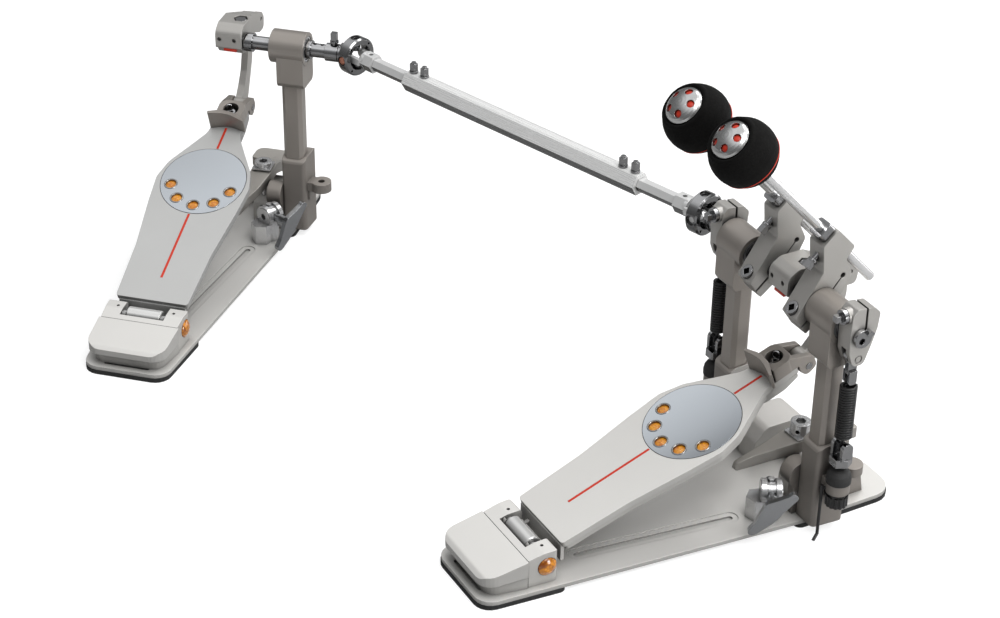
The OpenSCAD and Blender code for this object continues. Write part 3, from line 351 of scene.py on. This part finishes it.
def felt_mat(name):
    m, nt, b = new_mat(name)
    v = coords(nt)
    f1 = noise(nt, v, 900.0, 6.0, 0.75, 0.6)
    f2 = noise(nt, v, 90.0, 3.0, 0.6)
    nt.links.new(ramp(nt, f1, [(0.3, (0.002, 0.002, 0.002)), (0.75, (0.009, 0.0085, 0.008))]), b.inputs["Base Color"])
    nt.links.new(maprange(nt, f2, 0.3, 0.7, 0.75, 0.9), b.inputs["Roughness"])
    b.inputs["Sheen Weight"].default_value = 0.02
    b.inputs["Sheen Roughness"].default_value = 0.5
    b.inputs["Specular IOR Level"].default_value = 0.10
    nt.links.new(bump(nt, f1, 0.5, 0.0005), b.inputs["Normal"])
    return m


MAT["felt_black"] = felt_mat("felt_black")
RED = red_mat("red_lacquer")
COPPER = metal("copper_cap", (0.55, 0.22, 0.14), 0.04, 0.22, 0.05, 0.9, 1000.0, 0.05, 0.0001, 60.0, bev=0.0004)

slot_of = {s["node"]: s["material_slot"] for s in frame["record"].get("subparts", [])}
OWN = dict(BRIDGE)
OWN.update(DISC)
for n in ("right_head_cap", "left_head_cap"):
    OWN[n] = CAP
for n in ("right_beater_holder", "left_beater_holder", "primary_cam", "slave_cam", "right_rocker", "left_rocker"):
    OWN[n] = HOLDER
OWN["hinge_pins"] = ROLLER
# painted shade: the slave footboard is a darker copy of the board aluminium
OWN["slave_footboard"] = metal("aluminium_board_painted_shade", (0.57, 0.57, 0.56), 0.02, 0.42, 0.06, 0.25, 1500.0, 0.10, 0.00012, 14.0, painted_underside_shade=(0.32, 0.62))
OWN["bearings"] = BEARING
for n in ("primary_clamp_arm", "slave_clamp_arm"):
    OWN[n] = ARM
for n in ("barrel_nuts", "clamp_screws"):
    OWN[n] = SATIN_CHROME
WING = chrome_mat("wing_chrome", (0.50, 0.51, 0.525), 0.2, gstr=0.05, painted_underside_shade=(0.30, 0.70))
for n in ("primary_wing_bolt", "slave_wing_bolt"):
    OWN[n] = WING
RING_CHROME = chrome_mat("ring_chrome", (0.46, 0.46, 0.465), 0.14, painted_underside_shade=(0.10, 0.46))
for n in ("right_joint_ring", "left_joint_ring"):
    if n in N:
        OWN[n] = RING_CHROME
for n in ("right_beater_rod", "left_beater_rod"):
    OWN[n] = BEATER_ROD
# painted shade: the heel covers darken their side and lower faces and inner corners more strongly than the board
# aluminium
OWN["heel_covers"] = metal("aluminium_heel", (0.78, 0.765, 0.735), 0.02, 0.42, 0.06, 0.25, 1500.0, 0.10, 0.00012, 14.0, painted_underside_shade=(0.28, 0.56), painted_crevice_shade=(0.022, 0.2))
OWN["drive_rods"] = RODS
for n, o in N.items():
    o.data.materials.clear()
    o.data.materials.append(OWN[n] if n in OWN else MAT[slot_of[n]])
    for p in o.data.polygons:
        p.material_index = 0


# ---------------------------------------------------------------- mesh tools
def obj_from(name, bm, mat, M=Matrix.Identity(4), smooth=30.0):
    me = bpy.data.meshes.new(name)
    bmesh.ops.recalc_face_normals(bm, faces=bm.faces)
    bm.transform(M)
    bm.transform(Matrix.Scale(MM, 4))
    bm.to_mesh(me)
    bm.free()
    o = bpy.data.objects.new(name, me)
    bpy.context.scene.collection.objects.link(o)
    me.materials.append(mat)
    if smooth:
        me.shade_smooth()
        me.set_sharp_from_angle(angle=radians(smooth))
    return o


def lathe(bm, prof, seg=64, M=Matrix.Identity(4)):
    """Revolve an (r, z) profile about Z; a point with r=0 closes the end."""
    rings = []
    for r, z in prof:
        if r < 1e-6:
            rings.append([bm.verts.new(M @ Vector((0, 0, z)))])
        else:
            rings.append([bm.verts.new(M @ Vector((r * cos(2 * pi * i / seg), r * sin(2 * pi * i / seg), z))) for i in range(seg)])
    for a, b in zip(rings, rings[1:]):
        for i in range(seg):
            j = (i + 1) % seg
            if len(a) == 1 and len(b) == 1:
                continue
            if len(a) == 1:
                bm.faces.new((a[0], b[i], b[j]))
            elif len(b) == 1:
                bm.faces.new((a[i], a[j], b[0]))
            else:
                bm.faces.new((a[i], a[j], b[j], b[i]))
    return rings


def tube(bm, pts, r, seg=12, closed=False):
    """Sweep a circle of radius r along the points."""
    n = len(pts)
    pts = [Vector(p) for p in pts]
    tans = []
    for i in range(n):
        if closed:
            t = pts[(i + 1) % n] - pts[i - 1]
        else:
            t = pts[min(i + 1, n - 1)] - pts[max(i - 1, 0)]
        tans.append(t.normalized())
    up = Vector((0, 0, 1)) if abs(tans[0].z) < 0.9 else Vector((1, 0, 0))
    nrm = (up - tans[0] * up.dot(tans[0])).normalized()
    rings = []
    for i in range(n):
        nrm = (nrm - tans[i] * nrm.dot(tans[i])).normalized()
        bi = tans[i].cross(nrm)
        rings.append([bm.verts.new(pts[i] + (nrm * cos(2 * pi * k / seg) + bi * sin(2 * pi * k / seg)) * r) for k in range(seg)])
    for a, b in zip(rings, rings[1:]):
        for k in range(seg):
            j = (k + 1) % seg
            bm.faces.new((a[k], a[j], b[j], b[k]))
    if not closed:
        bm.faces.new(rings[0][::-1])
        bm.faces.new(rings[-1])


def bar(bm, x0, x1, y0, y1, z0, z1, c=0.3):
    """A straight strip with chamfered long edges."""
    sec = [(y0 + c, z0), (y1 - c, z0), (y1, z0 + c), (y1, z1 - c), (y1 - c, z1), (y0 + c, z1), (y0, z1 - c), (y0, z0 + c)]
    a = [bm.verts.new((x0, y, z)) for y, z in sec]
    b = [bm.verts.new((x1, y, z)) for y, z in sec]
    m = len(sec)
    for i in range(m):
        j = (i + 1) % m
        bm.faces.new((a[i], a[j], b[j], b[i]))
    bm.faces.new(a[::-1])
    bm.faces.new(b)


# ---------------------------------------------------------------- red inlay lines
for tag, base, body in (("primary", PRIMARY, "primary_board"), ("slave", SLAVE, "slave_board")):
    for k, (d0, d1) in enumerate(((26.5, 103.0), (185.0, 211.8))):
        bm = bmesh.new()
        bar(bm, d0, d1, -1.15, 1.15, -0.6, 0.12, 0.1)
        o = obj_from("%s_line_%d" % (tag, k + 1), bm, RED, base @ BOARD @ RZ(radians(90)), 0)
        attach(o, body)

# ---------------------------------------------------------------- springs
def spring(tag, sx):
    bm = bmesh.new()
    R, w = 5.95, 1.05
    z0, z1, turns = 98.2, 146.0, 21
    pts = []
    nseg = 20
    # lower hook loop around the swivel pin
    for i in range(13):
        a = radians(-60 + 300 * i / 12)
        pts.append((0, 3.1 * sin(a) * 1.0, 90 - 3.1 * cos(a)))
    loop = [(0, 3.1 * cos(radians(t)), 90 + 3.1 * sin(radians(t))) for t in range(-60, 250, 20)]
    pts = loop[::-1]
    pts.append((0, -0.5, 94.6))
    pts.append((0.4, 0.6, 96.4))
    pts.append((2.0, 3.0, 97.6))
    for i in range(turns * nseg + 1):
        a = 2 * pi * i / nseg + radians(60)
        pts.append((R * cos(a), R * sin(a), z0 + (z1 - z0) * i / (turns * nseg)))
    last = pts[-1]
    pts.append((last[0] * 0.5, last[1] * 0.5 + 0.8, z1 + 1.0))
    pts.append((0, 0.4, 147.6))
    up = [(0, 3.1 * cos(radians(t)), 152 + 3.1 * sin(radians(t))) for t in range(-90, 215, 20)]
    pts += up
    tube(bm, pts, w, 10)
    bm2 = bm
    o = obj_from(tag + "_spring_coil", bm2, MAT["black_steel"], T(sx, 0, 0), 60)
    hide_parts(tag + "_spring")
    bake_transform(o)
    return o


spring("right", 86.5)
spring("left", -86.5)

# ---------------------------------------------------------------- target plate: black ring as painted shadow in the gap, bezels and lenses
def ring_profile(bm, prof, M=Matrix.Identity(4), seg=48):
    """Revolve a closed (r, z) loop about Z."""
    rings = [[bm.verts.new(M @ Vector((r * cos(2 * pi * i / seg), r * sin(2 * pi * i / seg), z))) for i in range(seg)] for r, z in prof]
    for k in range(len(rings)):
        a, b = rings[k], rings[(k + 1) % len(rings)]
        for i in range(seg):
            j = (i + 1) % seg
            bm.faces.new((a[i], a[j], b[j], b[i]))


for tag, base, body in (("primary", PRIMARY, "primary_board"), ("slave", SLAVE, "slave_board")):
    M = base @ BOARD
    bm = bmesh.new()
    # painted shadow: a black ring fills the gap round the disc, where there is only shade
    ring_profile(bm, [(39.84, -1.96), (40.26, -1.96), (40.26, -0.35), (39.84, -0.35)], T(0, 144, 0), 128)
    o = obj_from(tag + "_gap_shadow_ring", bm, MAT["black_steel"], M, 30)
    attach(o, body)
    lens, bez = bmesh.new(), bmesh.new()
    for i in range(-2, 3):
        a = radians(-90 + 36.5 * i)
        L = T(30 * cos(a), 144 + 30 * sin(a), 0)
        lathe(lens, [(0, -0.35), (1.4, -0.36), (1.6, -0.52), (2.9, -0.62), (3.1, -0.8), (4.1, -0.95), (4.75, -1.25), (4.75, -1.95), (0, -1.95)], 40, L)
        ring_profile(bez, [(4.8, -1.95), (4.8, -0.8), (5.0, 0.3), (5.25, 0.6), (6.0, 0.6), (6.35, 0.35), (6.35, 0.215), (5.65, 0.215), (5.65, -1.95)], L, 40)
    o = obj_from(tag + "_stud_lenses", lens, MAT["amber_plastic"], M, 25)
    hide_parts(tag + "_studs")
    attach(o, body)
    o = obj_from(tag + "_stud_bezels", bez, MAT["satin_nickel"], M, 25)
    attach(o, body)

# ---------------------------------------------------------------- heel reflectors: domed lens on a short round base
lens = bmesh.new()
for base in (PRIMARY, SLAVE):
    for sgn in (-1, 1):
        L = base @ T(sgn * 34.05, -230, 22.7) @ RY(radians(90 * sgn))
        lathe(lens, [(0, 0.02), (7.88, 0.02), (7.88, 2.5), (7.5, 3.1), (6.9, 3.5), (6.3, 3.9), (5.2, 4.6), (3.9, 5.15), (2.5, 5.45), (1.2, 5.56), (0, 5.6)], 56, L)
o = obj_from("reflector_lenses", lens, AMBER_LENS, PRIMARY, 28)
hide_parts("heel_reflectors")
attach(o, "base")

# ---------------------------------------------------------------- beater heads, red rings and dots
import mathutils.noise as mnoise

HEAD_P, ROD_OFF, HR = 158.0, 42.6, 25.9
for tag, m, body in (("right", 34.5, "right_beater"), ("left", -26.0, "left_beater")):
    H = LEANT @ T(m, ROD_OFF, HEAD_P)
    bm = bmesh.new()
    prof = [(0, -10.05), (3.95, -10.05), (3.95, -18.4), (4.5, -19.1), (14.6, -19.1), (16.4, -18.9)]
    a0, a1 = asin(-18.3 / HR), asin(16.4 / HR)
    for i in range(31):
        a = a0 + (a1 - a0) * i / 30
        rr = HR - 0.12
        # a soft moulding seam just above the middle
        d = math.degrees(a) - 4.0
        rr -= 0.32 * math.exp(-(d / 1.3) ** 2)
        prof.append((rr * cos(a), rr * sin(a)))
    prof += [(19.6, 17.6), (18.8, 18.6), (17.8, 18.9), (16.9, 18.6), (16.2, 17.8), (16.05, 16.6), (16.05, 10.1), (0, 10.1)]
    lathe(bm, prof, 96)
    for v in bm.verts:
        q = v.co.copy()
        if q.length > 18:
            k = mnoise.noise(q * 0.9 + Vector((m, 7.3, 1.1))) * 0.07 + mnoise.noise(q * 0.16 + Vector((m, 3.1, 9.7))) * 0.10
            v.co = q * (1 + k / q.length)
    o = obj_from(tag + "_head_felt", bm, MAT["felt_black"], H, 40)
    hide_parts(tag + "_beater_head")
    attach(o, body)
    bm = bmesh.new()
    zr = -9.0
    rr = sqrt((HR - 0.1) ** 2 - zr * zr)
    ring_profile(bm, [(rr + 0.42 * cos(t * pi / 4), zr + 0.42 * sin(t * pi / 4)) for t in range(8)], Matrix.Identity(4), 128)
    o = obj_from(tag + "_head_red_ring", bm, RED, H, 40)
    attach(o, body)
    bm = bmesh.new()
    for i in range(5):
        L = RZ(radians(72 * i + 20)) @ T(9, 0, 21.3) @ RY(radians(24))
        lathe(bm, [(0, 1.15), (1.3, 1.1), (2.3, 0.75), (2.85, 0.35), (2.95, 0.02), (0, 0.02)], 28, L)
    o = obj_from(tag + "_cap_dots", bm, RED, H, 30)
    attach(o, body)

# ---------------------------------------------------------------- red cam bumpers, copper cap of the left joint
for tag, base, body in (("primary", PRIMARY, "right_beater"), ("slave", SLAVE, "slave_shaft")):
    bm = bmesh.new()
    bar(bm, -0.6, 11.4, -12.0, -7.4, -7.0, -3.2, 0.9)
    o = obj_from(tag + "_cam_bumper", bm, RED, base @ T(0, 0, AXLE), 25)
    bv = o.modifiers.new("soft", "BEVEL")
    bv.width = 0.0004
    bv.segments = 2
    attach(o, body)

bm = bmesh.new()
lathe(bm, [(0, 0), (3.9, 0), (3.9, 0.8), (3.3, 1.5), (2.0, 1.8), (0, 1.9)], 32, T(0, -16.1, 0) @ RX(radians(90)))
o = obj_from("left_ring_cap", bm, COPPER, DRIVE, 30)
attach(o, "left_ring_body")

# ---------------------------------------------------------------- floor, light, camera
bm = bmesh.new()
s = 6000.0
vs = [bm.verts.new(p) for p in ((-s, -s, 0), (s, -s, 0), (s, s, 0), (-s, s, 0))]
bm.faces.new(vs)
mfl, ntf, bfl = new_mat("floor_paper")
vf = coords(ntf)
ff = noise(ntf, vf, 3.0, 2.0)
ntf.links.new(ramp(ntf, ff, [(0.3, (0.30, 0.30, 0.30)), (0.7, (0.31, 0.31, 0.31))]), bfl.inputs["Base Color"])
bfl.inputs["Roughness"].default_value = 0.9
bfl.inputs["Specular IOR Level"].default_value = 0.1
bfl.inputs["Emission Color"].default_value = (1, 1, 1, 1)
bfl.inputs["Emission Strength"].default_value = 0.76
floor = obj_from("floor", bm, mfl, T(0, 0, -0.2), 0)
only_floor = bpy.data.collections.new("lit_by_floor")
only_floor.objects.link(floor)
floor.light_linking.receiver_collection = only_floor

world = bpy.data.worlds.new("studio")
bpy.context.scene.world = world
world.use_nodes = True
wn = world.node_tree
wn.nodes.clear()
wo = wn.nodes.new("ShaderNodeOutputWorld")
bg = wn.nodes.new("ShaderNodeBackground")
tc = wn.nodes.new("ShaderNodeTexCoord")
sep = wn.nodes.new("ShaderNodeSeparateXYZ")
wn.links.new(tc.outputs["Generated"], sep.inputs[0])
cr = wn.nodes.new("ShaderNodeValToRGB")
cr.color_ramp.elements[0].color = (0.16, 0.16, 0.16, 1)
cr.color_ramp.elements[1].color = (0.75, 0.75, 0.75, 1)
for pos, val in ((0.30, 0.18), (0.52, 0.24), (0.62, 0.42), (0.70, 0.72), (0.82, 0.98)):
    e = cr.color_ramp.elements.new(pos)
    e.color = (val, val * 1.01, val * 1.02, 1)
wn.links.new(sep.outputs[2], cr.inputs[0])
wn.links.new(cr.outputs[0], bg.inputs[0])
bg.inputs[1].default_value = 0.9
wn.links.new(bg.outputs[0], wo.inputs[0])


def area(name, loc, target, size, energy, color=(1, 1, 1)):
    d = bpy.data.lights.new(name, "AREA")
    d.shape = "RECTANGLE"
    d.size, d.size_y = size
    d.energy = energy
    d.color = color
    o = bpy.data.objects.new(name, d)
    bpy.context.scene.collection.objects.link(o)
    o.location = loc
    o.rotation_euler = (Vector(target) - Vector(loc)).to_track_quat("-Z", "Y").to_euler()
    return o


area("key", (1.0, 0.15, 2.4), (-0.25, -0.1, 0.1), (1.7, 1.7), 33)
area("back", (-0.6, 1.7, 2.3), (-0.25, 0, 0.1), (2.2, 1.0), 20)
area("side", (2.5, 0.9, 0.7), (0.0, 0, 0.15), (1.0, 1.0), 30)
area("low_back", (0.1, 2.4, 0.34), (0.0, 0.0, 0.2), (2.4, 0.6), 12)

cam = bpy.data.cameras.new("camera")
co = bpy.data.objects.new("camera", cam)
bpy.context.scene.collection.objects.link(co)
yaw, pitch, roll = radians(60.595), radians(31.6), radians(0.935)
fwd = Vector((-sin(yaw) * cos(pitch), cos(yaw) * cos(pitch), -sin(pitch)))
right = Vector((cos(yaw), sin(yaw), 0))
up = right.cross(fwd)
xc = right * cos(roll) + up * sin(roll)
yc = -right * sin(roll) + up * cos(roll)
zc = -fwd
co.matrix_world = Matrix(((xc.x, yc.x, zc.x, 1.23592), (xc.y, yc.y, zc.y, -0.95094), (xc.z, yc.z, zc.z, 1.11147), (0, 0, 0, 1)))
cam.sensor_fit = "HORIZONTAL"
cam.sensor_width = 36.0
cam.lens = 83.823
cam.clip_start = 0.05
bpy.context.scene.camera = co

sc = bpy.context.scene
sc.view_settings.view_transform = "Standard"
sc.view_settings.look = "None"

bpy.context.view_layer.update()
